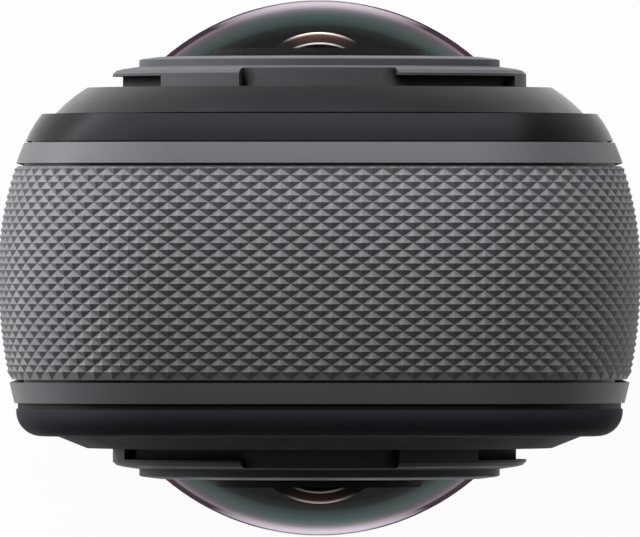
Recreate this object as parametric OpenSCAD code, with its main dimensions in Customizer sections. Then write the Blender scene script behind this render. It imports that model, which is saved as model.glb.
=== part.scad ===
// Pocket 360 degree camera: a tall stick body with two dome lenses back to back
// and a diamond-knurled grip band that runs over the top and down both sides.
// Every piece is drawn lying on its front with the screen facing up (x to the right,
// y up the body, z out of the screen) and is stood upright by the module upright().

/* [Body] */
// Width across the widest line of the sides
body_w = 46; // [44:0.5:50]
// Height from the base plate to the top of the grip band
body_h = 124.5; // [120:0.5:132]
// Corner radius at the top, seen from the front
top_corner_r = 12; // [11:0.5:13]
// Corner radius at the bottom, seen from the front
base_corner_r = 8; // [7:0.5:9]
// Radius of the side curve in front of the widest line
side_front_arc = 23.9; // [23:0.1:32]
// Radius of the side curve behind the widest line
side_rear_arc = 36; // [30:0.5:50]
// Where the widest line lies, from the middle toward the screen
widest_z = 0.4; // [0:0.1:1]
// Reach of the frame in front of the middle
frame_front = 8.95; // [8.9:0.05:9.5]
// Reach of the frame behind the middle
frame_rear = 9.65; // [9.6:0.05:10.2]
// Wall of the frame, from its widest line to the cavity
frame_wall = 3.4; // [3.2:0.1:3.6]
// Height of the frame above the ground, taken up by the base plate
frame_foot = 0.6; // [0.4:0.1:1]

/* [Grip band] */
// Reach of the grip band in front of the middle
grip_front = 7.26; // [7.1:0.02:7.4]
// Reach of the grip band behind the middle
grip_rear = 7.96; // [7.8:0.02:8.1]
// Depth of the seat that the grip band and the side panels lie in
grip_seat = 1.9; // [1.8:0.05:2]
// Width of the groove round the grip band
grip_groove = 0.21; // [0.15:0.01:0.3]
// Distance of the ends of the grip band below the lens axis
grip_leg_drop = 13.5; // [10:0.5:15]
// Length of one diamond along the band
diamond_l = 1.45; // [1.3:0.01:2]
// Width of one diamond across the band
diamond_w = 0.964; // [0.9:0.002:1.3]
// Height of one diamond
diamond_h = 0.25; // [0.15:0.01:0.35]
// Distance of the first row of the lattice from the front edge of the band
first_row = 0.19; // [0.1:0.01:0.4]
// Shift of the lattice along the band
column_shift = 0.13; // [-0.3:0.01:0.3]

/* [Covers] */
// Thickness of the front cover
front_cover_t = 2.05; // [1.9:0.05:2.3]
// Distance of the edge of the front face from the sides
front_edge_inset = 3.16; // [3:0.02:3.4]
// Radius of the curved edge of the front cover
front_edge_r = 8; // [7:0.1:12]
// Height of the shadow line between the frame and the front cover
shadow_line = 0.1; // [0.05:0.01:0.15]
// Thickness of the rear cover
rear_cover_t = 1.94; // [1.9:0.02:2.2]
// Width of the gasket line between the frame and the rear cover
rear_gasket_t = 0.43; // [0.35:0.01:0.55]
// Depth of the gasket line below the sides
rear_gasket_d = 1.45; // [1.4:0.05:1.7]
// Radius of the rounded edge of the rear cover
rear_edge_r = 1.8; // [1.5:0.05:1.85]
// Wall of the lip of each cover inside the frame
lip_t = 1.2; // [1:0.1:1.3]
// Depth of the lip of each cover inside the frame
lip_depth = 1.3; // [1:0.1:1.4]
// Width of the ribbed pad on the front cover
pad_w = 28; // [22:0.5:30]
// Distance of the upper edge of the pad below the lens axis
pad_drop = 32.5; // [31:0.5:40]
// Height of the lower edge of the pad
pad_y = 15; // [13:0.5:17]
// Thickness of the pad
pad_t = 0.8; // [0.6:0.05:1]
// Number of ribs on the pad
pad_ribs = 27; // [15:1:32]

/* [Lenses] */
// Distance of the lens axis below the top
lens_drop = 23; // [22.5:0.25:23.5]
// Radius of the round bump at its foot
bump_foot_r = 19.1; // [18.5:0.1:19.2]
// Radius of the round bump at its top
bump_top_r = 16.75; // [16:0.05:17]
// Distance of the top of the bumps from the middle of the body
bump_top = 12.96; // [12.8:0.02:13.4]
// Radius of the neck of the bayonet mount
neck_r = 14.15; // [14:0.05:14.3]
// Radius over the bayonet tabs
tab_r = 14.88; // [14.6:0.02:15.2]
// Height of the bayonet mount above the bump
mount_h = 1.51; // [1.4:0.01:1.8]
// Height of the undercut below the bayonet tabs
tab_under = 0.8; // [0.7:0.05:0.9]
// Angle of the undercut of one bayonet tab
tab_angle = 48; // [40:1:55]
// Angle of the stop at the closed end of one bayonet tab
stop_angle = 27; // [20:1:32]
// Radius of the retaining ring
ring_r = 12.97; // [12.8:0.01:13.2]
// Height of the retaining ring at its rim
ring_rim_h = 0.47; // [0.35:0.01:0.6]
// Height of the retaining ring at its inner edge
ring_h = 0.7; // [0.65:0.01:0.85]
// Radius of the outer face of the dome lens
dome_r = 17.2; // [17:0.05:17.4]
// Height of the dome lens above the bump
dome_h = 6.3; // [6.2:0.02:6.4]
// Thickness of the dome lens
dome_t = 1.2; // [1:0.05:1.4]
// Radius of the rim of the dome lens
dome_rim_r = 11.8; // [11.7:0.02:11.85]
// Radius of the top of the black baffle under the dome
baffle_top_r = 7.4; // [7:0.1:7.6]
// Height of the baffle above the bump
baffle_h = 2.79; // [2.6:0.01:2.9]
// Radius of the curve of the inner lens
inner_lens_r = 5.5; // [5.3:0.05:5.7]
// Height of the inner lens above the bump
inner_lens_h = 4; // [3.9:0.02:4.1]
// Radius of the lens barrel
barrel_r = 10.85; // [10.6:0.05:10.9]
// Side of the square sensor board
sensor_board = 18; // [16:0.5:20]

/* [Screen and keys] */
// Distance of the display glass from each side of the body
glass_margin = 5; // [4.75:0.25:6.5]
// Distance of the upper edge of the display glass below the lens axis
glass_drop = 20.5; // [20:0.5:26]
// Height of the lower edge of the display glass
glass_y = 19; // [18:0.25:19.25]
// Thickness of the display glass
glass_t = 1; // [0.8:0.05:1.1]
// Width of the ledge that the display glass rests on
glass_ledge = 1.4; // [1:0.1:2]
// Gap between the shutter key and the lens key
rear_key_gap = 4; // [3.5:0.25:6]
// Width of the shutter key and the lens key
rear_key_w = 7; // [5.5:0.25:7.25]
// Distance of the shutter key and the lens key from the sides
rear_key_margin = 6; // [5.75:0.25:8]
// Height of the shutter key and the lens key
rear_key_y = 11; // [10.5:0.1:11.5]
// How far the shutter key and the lens key stand out
rear_key_proud = 0.25; // [0.1:0.05:0.4]
// Length of the power key and the quick key
side_key_l = 11; // [9:0.5:12]
// Width of the power key and the quick key
side_key_w = 4.6; // [4:0.1:5]
// Distance of the power key below the lens axis
power_key_drop = 31.5; // [30.5:0.5:32.5]
// Distance of the quick key below the lens axis
quick_key_drop = 46.5; // [45:0.5:47.5]
// Travel of every key
key_travel = 0.5; // [0.3:0.05:0.5]

/* [Battery, card and port] */
// Room for the contacts between the battery cell and the board of the side keys
cell_room = 1.8; // [1.6:0.1:3]
// Distance of the upper edge of the battery cell below the lens axis
cell_drop = 29.5; // [29:0.5:32]
// Thickness of the battery cell
cell_t = 10; // [9:0.1:10.2]
// Height of the lower edge of the battery cell
cell_y = 25; // [24.8:0.1:25.4]
// Wall of the battery tray
tray_wall = 0.8; // [0.6:0.05:0.9]
// Height of the lower edge of the battery lid
lid_y = 23.4; // [23:0.1:23.6]
// Distance of the upper edge of the battery lid below the lens axis
lid_drop = 23.5; // [22.5:0.1:23.9]
// Length of the thumb piece of the battery latch
latch_l = 8; // [7:0.25:8.5]
// Width of the thumb piece of the battery latch
latch_w = 5; // [4.5:0.1:5.2]
// Travel of the battery latch
latch_travel = 3; // [2.5:0.1:3.2]
// Length of the port door above its pin
door_h = 12.5; // [12.3:0.1:12.8]
// Width of the port door
door_w = 9; // [8.4:0.1:9.4]
// Height of the pin of the port door
door_pin_y = 12; // [11.8:0.1:12.2]
// Radius of the pin of the port door
door_pin_r = 0.4; // [0.35:0.01:0.45]
// Length of the opening of the charging port
port_l = 8.4; // [8.34:0.01:8.5]
// Width of the opening of the charging port
port_w = 2.6; // [2.56:0.01:2.7]

/* [Base] */
// Length of the base plate
base_l = 34; // [30:0.5:35]
// Width of the base plate
base_w = 13; // [12.5:0.25:13.5]
// Thickness of the base plate
base_t = 2.4; // [2.2:0.1:2.5]
// Radius of the tripod thread
tripod_r = 3.175; // [3.175:0.001:3.2]
// Depth of the tripod thread
tripod_depth = 8; // [7:0.25:9]
// Radius of the tripod insert
insert_r = 5; // [4.6:0.1:5.2]

/* [Hidden] */
$fn = 64;

// Clearances
seat_gap = 0.08;
fit_gap = 0.15;
slide_gap = 0.2;
board_gap = 0.25;

// Body outline
half_w = body_w/2;
top_flat = half_w - top_corner_r;
base_flat = half_w - base_corner_r;
top_y = body_h - top_corner_r;
base_y = frame_foot + base_corner_r;
cavity_x = half_w - frame_wall;
edge_depth = base_corner_r - 1;
panel_y = base_y + 0.3;
panel_d = grip_seat - seat_gap;
wall_x = half_w - grip_seat;
lens_y = body_h - lens_drop;
grip_leg_y = lens_y - grip_leg_drop;

// Levels of the covers
front_face = frame_front + front_cover_t;
rear_seat = frame_rear + rear_gasket_t;
rear_face = rear_seat + rear_cover_t;
lip_inset = frame_wall + fit_gap;
pad_h = lens_y - pad_drop - pad_y;

// Lens stack, as heights from the middle of the body
mount_top = bump_top + mount_h;
neck_drop = 0.17;
lens_seat = mount_top - 0.87;
dome_top = bump_top + dome_h;
dome_centre = dome_top - dome_r;
bore_r = 12.6;
tube_r = bore_r - fit_gap;
tube_foot = 9.7;
pocket_r = dome_rim_r + fit_gap;
chassis_half = 1.2;
sensor_board_t = 1;
sensor_die = 9;
sensor_top = chassis_half + sensor_board_t + 0.8;
barrel_foot = sensor_top + 0.1;
barrel_top = lens_seat - 0.15;
baffle_foot = barrel_top - 1.4;
baffle_r = barrel_r - 1.95;
baffle_top = bump_top + baffle_h;
inner_lens_top = bump_top + inner_lens_h;
inner_lens_centre = inner_lens_top - inner_lens_r;
inner_lens_rim = 4.6;

// Screen stack, as heights from the middle of the body
glass_top = rear_face - 0.04;
panel_top = glass_top - glass_t - 0.05;
mid_plate_z = 6.4;
mid_plate_t = 1.1;
panel_foot = mid_plate_z + mid_plate_t + 0.1;
glass_corner = 3;
glass_w = body_w - 2*glass_margin;
glass_h = lens_y - glass_drop - glass_y;

// Keys
rear_key_l = half_w - rear_key_margin - rear_key_gap/2;
rear_key_x = (rear_key_l + rear_key_gap)/2;
power_key_y = lens_y - power_key_drop;
quick_key_y = lens_y - quick_key_drop;
key_flange = 0.7;
key_flange_t = 0.6;
rear_board_z = 6.6;
rear_board_t = 0.8;
side_board_x = half_w - 6.6;
side_board_t = 0.8;
side_board_w = 9;
side_board_tail = 7.5;

// Battery, as the cell lies in its tray
cell_z = -4.8;
cell_x = -cavity_x + 0.6;
cell_l = side_board_x - cell_room - cell_x;
cell_h = lens_y - cell_drop - cell_y;
tray_x = cell_x + cell_l + 0.6;
lid_top = lens_y - lid_drop;
lid_front = -6.2;
lid_rear = 6.9;
lid_plug_x = -cavity_x + 0.7;
latch_y = (lid_y + lid_top)/2 + 1.5;
latch_recess = 1;
foot_l = 5;
card_y = cell_y + cell_h + tray_wall + slide_gap + 0.2;
card_slot_h = 2.4;
card_slot_l = 17;
card_slot_w = 12.4;
card_slot_wall = 0.6;
contacts_l = 10;

// Port
port_wall = 0.3;
port_y = door_pin_y + 6.2;
port_x = half_w - 2.4;
port_depth = 7.6;
door_t = 1.7;
door_pin_x = half_w - 1.2;
door_knuckle = 1.2;
door_gap = 0.3;
usb_board_z = -port_w/2 - port_wall - 1;
plug_l = port_l + 2;
plug_w = port_w + 3.2;

// Boards and fixings
main_board_z = -frame_front + 0.75;
main_board_t = 1;
main_board_half = cavity_x - fit_gap - lip_t - board_gap;
main_board_y = 25;
main_board_h = lens_y - lid_drop - main_board_y;
shield_w = 26;
shield_h = 22;
screw_r = 0.8;
ear_drop = 19;
ear_rise = 6.5;
ear_inset = 2;
ear_margin = 2.2;
ear_y = [lens_y - ear_drop, lens_y + ear_rise];
base_screw_x = base_l/2 - 4;
speaker_y = 9.6;
speaker_h = 12;
speaker_l = 10;
speaker_t = 8;
mic_y = lens_y - 19;
mic_r = 1.5;
status_y = lens_y - 25.5;
status_r = 0.9;

// Turns a piece from lying on its front to standing on its base
module upright() {
    rotate([90, 0, 0]) children();
}

// Rounded rectangle from one corner to the opposite one
module rounded(x0, y0, x1, y1, r) {
    translate([x0 + r, y0]) square([x1 - x0 - 2*r, y1 - y0]);
    translate([x0, y0 + r]) square([x1 - x0, y1 - y0 - 2*r]);
    for (x = [x0 + r, x1 - r], y = [y0 + r, y1 - r])
        translate([x, y]) circle(r = r);
}

// Slot shape with round ends, lying along x
module pill(l, w) {
    translate([-(l - w)/2, -w/2]) square([l - w, w]);
    for (s = [-1, 1]) translate([s*(l - w)/2, 0]) circle(r = w/2);
}

// Outline of the body seen from the front, drawn in by d
module outline(d) {
    translate([-(half_w - d), base_y]) square([2*(half_w - d), top_y - base_y]);
    translate([-top_flat, top_y]) square([2*top_flat, top_corner_r - d]);
    translate([-base_flat, frame_foot + d]) square([2*base_flat, base_corner_r - d]);
    for (s = [-1, 1]) {
        translate([s*top_flat, top_y]) circle(r = top_corner_r - d);
        translate([s*base_flat, base_y]) circle(r = base_corner_r - d);
    }
}

// Section of the curved side: x runs from 0 at the widest line inward, y is the depth z
module side_section(z0, z1, deep) {
    intersection() {
        translate([-deep, z0]) square([deep, z1 - z0]);
        union() {
            intersection() {
                translate([-side_front_arc, widest_z]) circle(r = side_front_arc, $fn = 360);
                translate([-deep - 1, widest_z - 20]) square([deep + 2, 20]);
            }
            intersection() {
                translate([-side_rear_arc, widest_z]) circle(r = side_rear_arc, $fn = 360);
                translate([-deep - 1, widest_z]) square([deep + 2, 20]);
            }
        }
    }
}

// How far the curved side lies inside the widest line at depth z
function side_inset(z) =
    let (arc = z < widest_z ? side_front_arc : side_rear_arc)
    arc - sqrt(arc*arc - (z - widest_z)*(z - widest_z));

// Runs a side section up the right side (side 1) or the left side (side -1)
module beside(side, y0, y1) {
    mirror([side < 0 ? 1 : 0, 0, 0])
        translate([half_w, y0, 0]) rotate([-90, 0, 0]) mirror([0, 1, 0])
            linear_extrude(y1 - y0) children();
}

// Runs a side section from y0 up one side, over the top and down the other side
module over_top(y0) {
    for (side = [-1, 1]) {
        beside(side, y0, top_y) children();
        mirror([side < 0 ? 1 : 0, 0, 0]) translate([top_flat, top_y, 0])
            rotate_extrude(angle = 90) translate([top_corner_r, 0]) children();
    }
    translate([-top_flat, body_h, 0]) rotate([90, 0, 90])
        linear_extrude(2*top_flat) children();
}

// Runs a side section from y0 down both sides and along the bottom
module under(y0) {
    for (side = [-1, 1]) {
        beside(side, base_y, y0) children();
        mirror([side < 0 ? 1 : 0, 0, 0]) translate([base_flat, base_y, 0])
            rotate([0, 0, -90]) rotate_extrude(angle = 90)
                translate([base_corner_r, 0]) children();
    }
    translate([base_flat, frame_foot, 0]) rotate([90, 0, -90])
        linear_extrude(2*base_flat) children();
}

// Pushes a shape drawn as (height, depth) along x
module sideways(x0, x1) {
    translate([x0, 0, 0]) rotate([90, 0, 90]) linear_extrude(x1 - x0) children();
}

// Pushes a shape drawn as (width, height) along z
module outward(z0, z1) {
    translate([0, 0, z0]) linear_extrude(z1 - z0) children();
}

// Puts a lens piece on the rear lens axis (side 1) or the front lens axis (side -1)
module on_lens(side) {
    translate([0, lens_y, 0]) rotate([0, side > 0 ? 0 : 180, 0]) children();
}

// Upright box from one corner to the opposite one
module block(from, to) {
    translate(from) cube(to - from);
}

// Section of the frame, with the seat of the grip band where it is wanted
module frame_section(seated) {
    difference() {
        side_section(-frame_front, frame_rear, frame_wall);
        if (seated)
            translate([-grip_seat, -grip_front - grip_groove])
                square([grip_seat + 1, grip_front + grip_rear + 2*grip_groove]);
    }
}

module side_key_hole(y) {
    sideways(cavity_x - 1, half_w + 1)
        translate([y, 0]) pill(side_key_l + 2*fit_gap, side_key_w + 2*fit_gap);
}

module speaker_holes() {
    for (i = [0:4])
        translate([0, speaker_y + speaker_h/2 + (i - 2)*1.6, 0])
            rotate([0, -90, 0]) cylinder(r = 0.5, h = half_w + 1);
}

module door_knuckle_groove() {
    translate([door_pin_x, door_pin_y, -door_w/2 - door_gap])
        cylinder(r = door_knuckle + door_gap, h = door_w + 2*door_gap);
}

module frame() {
    color("dimgray") upright() difference() {
        union() {
            over_top(panel_y - grip_groove) frame_section(true);
            under(panel_y - grip_groove) frame_section(false);
            for (side = [-1, 1], y = ear_y)
                translate([side*(cavity_x - 1.7), y, chassis_half + 1.4])
                    cube([3.8, 4.4, 2.8], center = true);
        }
        for (side = [-1, 1], y = ear_y)
            translate([side*(cavity_x - ear_inset), y, 0]) cylinder(r = screw_r + 0.05, h = 5);
        sideways(-half_w - 1, -cavity_x + 1)
            rounded(cell_y - slide_gap, cell_z - slide_gap,
                cell_y + cell_h + slide_gap, cell_z + cell_t + slide_gap, 1);
        sideways(-half_w - 1, -cavity_x + 1)
            rounded(card_y + 0.4, -6, card_y + card_slot_h - 0.4, 6, 0.5);
        side_key_hole(power_key_y);
        side_key_hole(quick_key_y);
        sideways(cavity_x - 1, half_w + 1)
            rounded(port_y - plug_l/2 - door_gap, -plug_w/2 - door_gap,
                port_y + plug_l/2 + door_gap + 0.1, plug_w/2 + door_gap, 1.2);
        door_knuckle_groove();
        speaker_holes();
        rotate([-90, 0, 0]) translate([0, 0, -1]) linear_extrude(base_t + 1)
            rounded(-base_l/2 - fit_gap, -base_w/2 - fit_gap,
                base_l/2 + fit_gap, base_w/2 + fit_gap, 3);
        rotate([-90, 0, 0]) cylinder(r = insert_r + fit_gap, h = frame_foot + frame_wall + 1);
        for (s = [-1, 1])
            translate([s*base_screw_x, 0, 0]) rotate([-90, 0, 0])
                cylinder(r = screw_r + 0.05, h = frame_foot + frame_wall + 1);
    }
}

// Diamond lattice of the grip band: rows run across the band and columns along it
band_w = grip_front + grip_rear;
top_arc = top_corner_r*PI/2;
band_half_l = top_flat + top_arc + top_y - grip_leg_y;
row_step = diamond_w/2;
column_step = diamond_l/2;
diamond_rows = floor((band_w - first_row)/row_step - 0.2) + 2;
half_columns = floor((band_half_l - 0.4)/column_step) + 1;

// Point of the body outline at the distance s along it from the top middle, drawn in by d
function band_point(s, d) =
    let (run = abs(s), side = s < 0 ? -1 : 1, turn = (run - top_flat)/top_corner_r*180/PI)
    run <= top_flat ? [s, body_h - d] :
    run <= top_flat + top_arc ?
        [side*(top_flat + (top_corner_r - d)*sin(turn)), top_y + (top_corner_r - d)*cos(turn)] :
        [side*(half_w - d), top_y - (run - top_flat - top_arc)];

module grip_band() {
    nc = 2*half_columns;
    nr = diamond_rows;
    // Even lattice points are tips of diamonds, odd points and the border are valleys
    function is_even(i, j) = (i + half_columns + j) % 2 == 0;
    function is_tip(i, j) = is_even(i, j) && i > 0 && i < nc && j > 0 && j < nr;
    function row_at(j) =
        j == 0 ? -grip_front : j == nr ? grip_rear : -grip_front + first_row + (j - 1)*row_step;
    function column_at(i) =
        i == 0 ? -band_half_l : i == nc ? band_half_l : (i - half_columns)*column_step + column_shift;
    outer = [for (i = [0:nc], j = [0:nr])
        let (z = row_at(j),
            p = band_point(column_at(i), side_inset(z) + (is_tip(i, j) ? 0 : diamond_h)))
        [p[0], p[1], z]];
    inner = [for (i = [0:nc], z = [-grip_front, grip_rear])
        let (p = band_point(column_at(i), panel_d))
        [p[0], p[1], z]];
    function out_at(i, j) = i*(nr + 1) + j;
    function in_at(i, k) = len(outer) + 2*i + k;
    // Each cell of the lattice is split along its valley
    knurl = [for (i = [0:nc - 1], j = [0:nr - 1])
        let (a = out_at(i, j), b = out_at(i + 1, j), c = out_at(i + 1, j + 1), d = out_at(i, j + 1))
        each is_even(i, j) ? [[a, b, d], [b, c, d]] : [[a, b, c], [a, c, d]]];
    edges = [for (i = [0:nc - 1]) each [
        [out_at(i, 0), in_at(i, 0), in_at(i + 1, 0)],
        [out_at(i, 0), in_at(i + 1, 0), out_at(i + 1, 0)],
        [out_at(i, nr), in_at(i + 1, 1), in_at(i, 1)],
        [out_at(i, nr), out_at(i + 1, nr), in_at(i + 1, 1)],
        [in_at(i, 0), in_at(i, 1), in_at(i + 1, 1)],
        [in_at(i, 0), in_at(i + 1, 1), in_at(i + 1, 0)]]];
    ends = [
        concat([for (j = [0:nr]) out_at(0, j)], [in_at(0, 1), in_at(0, 0)]),
        concat([for (j = [nr:-1:0]) out_at(nc, j)], [in_at(nc, 0), in_at(nc, 1)])];
    color("gray") upright() polyhedron(concat(outer, inner), concat(knurl, edges, ends));
}

module side_panel(side) {
    beside(side, panel_y, grip_leg_y - grip_groove)
        side_section(-grip_front, grip_rear, panel_d);
}

module mic_hole(side) {
    translate([side*(half_w - 0.9), mic_y, 0]) rotate([0, side*90, 0]) {
        cylinder(r = mic_r + 0.05, h = 2);
        translate([0, 0, -3]) cylinder(r = 0.6, h = 4);
    }
}

module right_side_panel() {
    color("dimgray") upright() difference() {
        side_panel(1);
        side_key_hole(power_key_y);
        side_key_hole(quick_key_y);
        mic_hole(1);
        block([wall_x - 1, door_pin_y - door_knuckle - door_gap, -door_w/2 - fit_gap],
            [half_w + 1, door_pin_y + door_h + fit_gap, door_w/2 + fit_gap]);
        translate([door_pin_x, door_pin_y, -door_w/2 - 1.05])
            cylinder(r = door_pin_r + 0.02, h = door_w + 2.1);
    }
}

module left_side_panel() {
    color("dimgray") upright() difference() {
        side_panel(-1);
        mic_hole(-1);
        speaker_holes();
        sideways(-half_w - 1, -wall_x + 1)
            rounded(lid_y - fit_gap, lid_front - fit_gap, lid_top + fit_gap, lid_rear + fit_gap, 2);
    }
}

// Lip of a cover, between two depths inside the frame
module cover_lip(z0, z1) {
    outward(z0, z1) difference() {
        outline(lip_inset);
        outline(lip_inset + lip_t);
    }
}

// Plate of a cover with a curved edge section all round
module cover_plate(z0, z1) {
    over_top(panel_y) children();
    under(panel_y) children();
    outward(z0, z1) outline(edge_depth - 0.5);
}

// Section of the front cover's edge: an arc from the frame to the front face, with a shadow line at its foot
module front_edge_section() {
    low = [-side_inset(-frame_front) - 0.06, -frame_front];
    high = [-front_edge_inset, -front_face];
    chord = norm(high - low);
    inward = [high[1] - low[1], low[0] - high[0]]/chord;
    centre = (low + high)/2 + inward*sqrt(front_edge_r*front_edge_r - chord*chord/4);
    difference() {
        intersection() {
            translate([-edge_depth, -front_face]) square([edge_depth, front_cover_t]);
            translate(centre) circle(r = front_edge_r, $fn = 180);
        }
        translate([low[0] - 0.5, -frame_front - shadow_line]) square([1, shadow_line + 0.1]);
    }
}

module front_cover() {
    // Rounded flank of the bump, an arc that bulges out from the straight cone
    flank = [bump_foot_r - bump_top_r, bump_top - front_face];
    bulge = 0.1;
    chord = norm(flank);
    flank_r = (chord*chord/4 + bulge*bulge)/(2*bulge);
    middle = [(bump_foot_r + bump_top_r)/2, (front_face + bump_top)/2];
    inward = [-flank[1], -flank[0]]/chord;
    color([0.16, 0.16, 0.17]) upright() difference() {
        union() {
            cover_plate(-front_face, -frame_front) front_edge_section();
            cover_lip(-frame_front, -frame_front + lip_depth);
            on_lens(-1) rotate_extrude() intersection() {
                translate([0, front_face - 0.5]) square([bump_foot_r, bump_top - front_face + 0.5]);
                translate(middle + inward*(flank_r - bulge)) circle(r = flank_r, $fn = 128);
            }
            on_lens(-1) cylinder(r = bump_top_r, h = bump_top);
            for (s = [-1, 1], y = [main_board_y + 3, main_board_y + main_board_h - 3])
                translate([s*(main_board_half - 3), y, -frame_front - 0.1])
                    cylinder(r = 1.8, h = frame_front + main_board_z + 0.1);
        }
        on_lens(-1) translate([0, 0, -1]) cylinder(r = bore_r, h = bump_top + 2);
        on_lens(-1) cylinder(r = bump_top_r + 1, h = frame_front);
        on_lens(-1) rotate_extrude() translate([bump_foot_r - 2*shadow_line, front_face])
            square([1, shadow_line]);
        outward(-front_face - 1, -front_face + pad_t)
            rounded(-pad_w/2 - 0.05, pad_y - 0.05, pad_w/2 + 0.05, pad_y + pad_h + 0.05, 4);
        translate([0, status_y, -front_face - 1]) cylinder(r = status_r + 0.05, h = 4);
    }
}

module front_grip_pad() {
    rib_pitch = pad_h/pad_ribs;
    color([0.1, 0.1, 0.1]) upright() difference() {
        outward(-front_face, -front_face + pad_t)
            rounded(-pad_w/2, pad_y, pad_w/2, pad_y + pad_h, 4);
        for (i = [1:pad_ribs - 1])
            translate([0, pad_y + i*rib_pitch, -front_face])
                cube([pad_w + 1, rib_pitch*0.4, 0.6], center = true);
    }
}

module rear_edge_section() {
    edge = side_inset(rear_seat);
    intersection() {
        translate([-edge_depth, rear_seat]) square([edge_depth, rear_cover_t]);
        union() {
            translate([-edge_depth, rear_seat])
                square([edge_depth - edge - rear_edge_r, rear_cover_t]);
            translate([-edge_depth, rear_seat])
                square([edge_depth - edge, rear_cover_t - rear_edge_r]);
            translate([-edge - rear_edge_r, rear_face - rear_edge_r]) circle(r = rear_edge_r);
        }
    }
}

module rear_cover() {
    color([0.08, 0.08, 0.09]) upright() difference() {
        union() {
            cover_plate(rear_seat, rear_face) rear_edge_section();
            cover_lip(frame_rear - lip_depth, rear_seat);
            on_lens(1) translate([0, 0, rear_face])
                cylinder(r1 = bump_foot_r, r2 = bump_top_r, h = bump_top - rear_face);
        }
        on_lens(1) cylinder(r = bore_r, h = bump_top + 1);
        outward(panel_top, rear_face + 1)
            rounded(-glass_w/2 - 0.1, glass_y - 0.1, glass_w/2 + 0.1, glass_y + glass_h + 0.1,
                glass_corner + 0.1);
        outward(rear_seat - 1, rear_face)
            rounded(-glass_w/2 + glass_ledge, glass_y + glass_ledge,
                glass_w/2 - glass_ledge, glass_y + glass_h - glass_ledge, 1);
        for (s = [-1, 1])
            outward(rear_seat - 1, rear_face + 1) translate([s*rear_key_x, rear_key_y])
                pill(rear_key_l + 2*fit_gap, rear_key_w + 2*fit_gap);
    }
}

module rear_cover_gasket() {
    color([0.03, 0.03, 0.03]) upright() outward(frame_rear, rear_seat) difference() {
        outline(rear_gasket_d);
        outline(frame_wall - 0.1);
    }
}

module display_glass() {
    color([0.02, 0.02, 0.03]) upright() outward(glass_top - glass_t, glass_top)
        rounded(-glass_w/2, glass_y, glass_w/2, glass_y + glass_h, glass_corner);
}

module display_panel() {
    inset = glass_ledge + fit_gap;
    color([0.05, 0.05, 0.07]) upright() outward(panel_foot, panel_top)
        rounded(-glass_w/2 + inset, glass_y + inset,
            glass_w/2 - inset, glass_y + glass_h - inset, 0.8);
}

module mid_plate() {
    color("silver") upright()
        block([-cavity_x + board_gap, glass_y, mid_plate_z],
            [cavity_x - board_gap, glass_y + glass_h, mid_plate_z + mid_plate_t]);
}

// Section of one bayonet tab, from its underside up
module tab_section(underside) {
    polygon([[neck_r - 0.3, underside], [tab_r, underside], [tab_r, mount_top - 0.53],
        [tab_r - 0.27, mount_top - 0.29], [neck_r, mount_top - neck_drop],
        [neck_r - 0.3, mount_top - neck_drop]]);
}

// Bayonet mount: a tube in the bore of the cover with three undercut tabs outside
module lens_mount(side) {
    seal_foot = tube_foot + 0.9;
    first_tab = 112.3;
    color([0.2, 0.2, 0.21]) upright() on_lens(side) {
        rotate_extrude() difference() {
            polygon([[barrel_r + fit_gap, tube_foot], [tube_r, tube_foot], [tube_r, bump_top],
                [neck_r, bump_top], [neck_r, mount_top - neck_drop], [ring_r, mount_top],
                [pocket_r, mount_top], [pocket_r, lens_seat], [barrel_r + fit_gap, lens_seat]]);
            translate([tube_r - 0.6, seal_foot]) square([1, 0.9]);
        }
        for (k = [0:2]) rotate([0, 0, first_tab + 120*k]) {
            rotate_extrude(angle = tab_angle) tab_section(bump_top + tab_under);
            rotate([0, 0, tab_angle]) rotate_extrude(angle = stop_angle) tab_section(bump_top);
        }
    }
}

module lens_ring(side) {
    inner_r = sqrt(dome_r*dome_r - pow(mount_top + ring_h - dome_centre, 2)) + fit_gap;
    color([0.15, 0.15, 0.16]) upright() on_lens(side) rotate_extrude()
        polygon([[pocket_r, mount_top], [ring_r, mount_top], [ring_r, mount_top + ring_rim_h],
            [ring_r - 0.2, mount_top + ring_rim_h + 0.08], [inner_r + 0.3, mount_top + ring_h],
            [inner_r, mount_top + ring_h], [pocket_r, mount_top + 0.15]]);
}

module dome_lens(side) {
    color([0.6, 0.65, 0.72, 0.4]) upright() on_lens(side) difference() {
        intersection() {
            translate([0, 0, dome_centre]) sphere(r = dome_r);
            translate([0, 0, lens_seat]) cylinder(r = dome_rim_r, h = dome_top - lens_seat + 1);
        }
        translate([0, 0, dome_centre]) sphere(r = dome_r - dome_t);
    }
}

// Black cone under the dome with a hole that follows the inner lens
module lens_baffle(side) {
    color([0.04, 0.04, 0.04]) upright() on_lens(side) rotate_extrude()
        polygon([[inner_lens_rim + fit_gap, baffle_foot], [baffle_r, baffle_foot],
            [baffle_r, lens_seat], [baffle_top_r, baffle_top],
            [inner_lens_rim - 0.85, baffle_top], [inner_lens_rim + fit_gap, baffle_top - 1.35]]);
}

module inner_lens(side) {
    color([0.5, 0.35, 0.25, 0.6]) upright() on_lens(side) intersection() {
        translate([0, 0, inner_lens_centre]) sphere(r = inner_lens_r);
        translate([0, 0, baffle_foot + 0.05])
            cylinder(r = inner_lens_rim, h = inner_lens_top - baffle_foot);
    }
}

module lens_barrel(side) {
    bore = 6;
    color([0.1, 0.1, 0.1]) upright() on_lens(side) difference() {
        translate([0, 0, barrel_foot]) cylinder(r = barrel_r, h = barrel_top - barrel_foot);
        translate([0, 0, barrel_foot - 1]) cylinder(r = bore, h = barrel_top);
        translate([0, 0, baffle_foot]) cylinder(r = baffle_r + 0.05, h = barrel_top);
    }
}

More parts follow.
